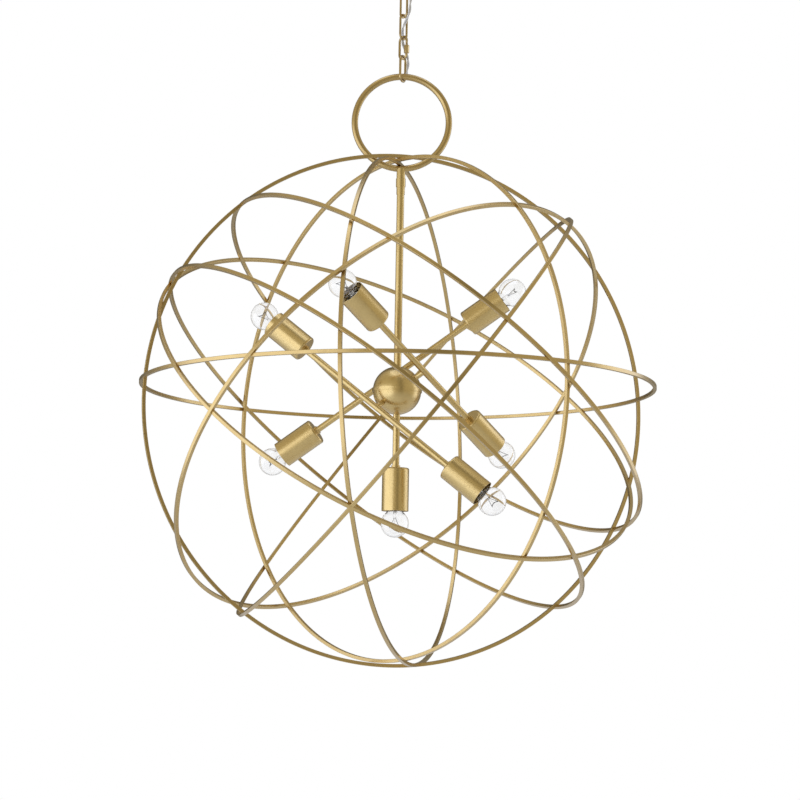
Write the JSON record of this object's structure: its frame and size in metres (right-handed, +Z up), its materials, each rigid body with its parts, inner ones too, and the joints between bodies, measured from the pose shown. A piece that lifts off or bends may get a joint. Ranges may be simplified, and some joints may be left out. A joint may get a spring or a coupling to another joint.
{
  "type": "orb chandelier",
  "caption": "Open sphere of crossed wire hoops in satin gold, hung by a ring and chain, with tubular lamp cups on rods round a central ball.",
  "frame": {"origin": "middle of the ceiling fixing, on the ceiling plane", "axes": "+Z up, towards the ceiling; the picture is taken from the -Y side, with +X to its right"},
  "size_m": [0.8248, 0.8336, 1.1567],
  "materials": {
    "gold": "satin brushed gold",
    "steel": "zinc plated",
    "glass": "clear",
    "cap": "bare",
    "porcelain": "glazed white",
    "cord": "clear sheath over bright wire"
  },
  "bodies": {
    "ceiling": {"canopy": "gold", "crossbar": "steel", "nipple": "steel", "lock_nut": "steel", "collar_nut": "gold", "canopy_loop": "gold", "supply_cord": "cord"},
    "link_1": {"chain_link_1": "gold"},
    "link_2": {"chain_link_2": "gold"},
    "quick_link": {"quick_link": "gold"},
    "quick_nut": {"quick_link_nut": "gold"},
    "hanger": {"hanger_link": "gold"},
    "orb": {"arm_high": "gold", "arm_low": "gold", "arm_rear": "gold", "arm_stubs": "gold", "ball_lower": "gold", "ball_upper": "gold", "cup_ferrules": "gold", "cups": "gold", "hanging_ring": "gold", "hoop_broad": "gold", "hoop_diagonal": "gold", "hoop_leaning_left": "gold", "hoop_leaning_right": "gold", "hoop_level": "gold", "hoop_slim": "gold", "hoop_steep": "gold", "hoop_tilted_lower": "gold", "hoop_tilted_upper": "gold", "hub": "steel", "lampholders": "porcelain", "lower_stem": "gold", "ring_neck": "gold", "stem_coupling": "gold", "stem_nut": "gold", "upper_stem": "gold"},
    "bulb_1": {"bulb_cap_1": "cap", "bulb_glass_1": "glass"},
    "bulb_2": {"bulb_cap_2": "cap", "bulb_glass_2": "glass"},
    "bulb_3": {"bulb_cap_3": "cap", "bulb_glass_3": "glass"},
    "bulb_4": {"bulb_cap_4": "cap", "bulb_glass_4": "glass"},
    "bulb_5": {"bulb_cap_5": "cap", "bulb_glass_5": "glass"},
    "bulb_6": {"bulb_cap_6": "cap", "bulb_glass_6": "glass"},
    "bulb_7": {"bulb_cap_7": "cap", "bulb_glass_7": "glass"}
  },
  "joints": [
    {"name": "link_1_swing", "type": "hinge", "parent": "ceiling", "child": "link_1", "pos_m": [0, 0, -0.065], "axis": [0.7071, 0.7071, 0], "range_deg": [-20, 20], "deforming": ["supply_cord"]},
    {"name": "link_2_swing", "type": "hinge", "parent": "link_1", "child": "link_2", "pos_m": [0, 0, -0.101], "axis": [0.7071, -0.7071, 0], "range_deg": [-20, 20], "deforming": ["supply_cord"]},
    {"name": "quick_link_swing", "type": "hinge", "parent": "link_2", "child": "quick_link", "pos_m": [0, 0, -0.1377], "axis": [0.7071, 0.7071, 0], "range_deg": [-20, 20], "deforming": ["supply_cord"]},
    {"name": "hanger_swing", "type": "hinge", "parent": "quick_link", "child": "hanger", "pos_m": [0, 0, -0.1706], "axis": [0.7071, -0.7071, 0], "range_deg": [-20, 20], "deforming": ["supply_cord"]},
    {"name": "orb_swing", "type": "hinge", "parent": "hanger", "child": "orb", "pos_m": [0, 0, -0.2008], "axis": [1, 0, 0], "range_deg": [-20, 20], "deforming": ["supply_cord"]},
    {"name": "quick_nut_travel", "type": "slide", "parent": "quick_link", "child": "quick_nut", "axis": [0, 0, 1], "range_m": [0, 0.0074]},
    {"name": "bulb_1_draw", "type": "slide", "parent": "orb", "child": "bulb_1", "axis": [0.7648, -0.171, -0.6211], "range_m": [0, 0.03]},
    {"name": "bulb_2_draw", "type": "slide", "parent": "orb", "child": "bulb_2", "axis": [-0.7648, 0.171, 0.6211], "range_m": [0, 0.03]},
    {"name": "bulb_3_draw", "type": "slide", "parent": "orb", "child": "bulb_3", "axis": [-0.6335, -0.4914, 0.5976], "range_m": [0, 0.03]},
    {"name": "bulb_4_draw", "type": "slide", "parent": "orb", "child": "bulb_4", "axis": [0.6335, 0.4914, -0.5976], "range_m": [0, 0.03]},
    {"name": "bulb_5_draw", "type": "slide", "parent": "orb", "child": "bulb_5", "axis": [0.8043, -0.1607, 0.5721], "range_m": [0, 0.03]},
    {"name": "bulb_6_draw", "type": "slide", "parent": "orb", "child": "bulb_6", "axis": [-0.8043, 0.1607, -0.5721], "range_m": [0, 0.03]},
    {"name": "bulb_7_draw", "type": "slide", "parent": "orb", "child": "bulb_7", "axis": [0, 0, -1], "range_m": [0, 0.03]}
  ]
}
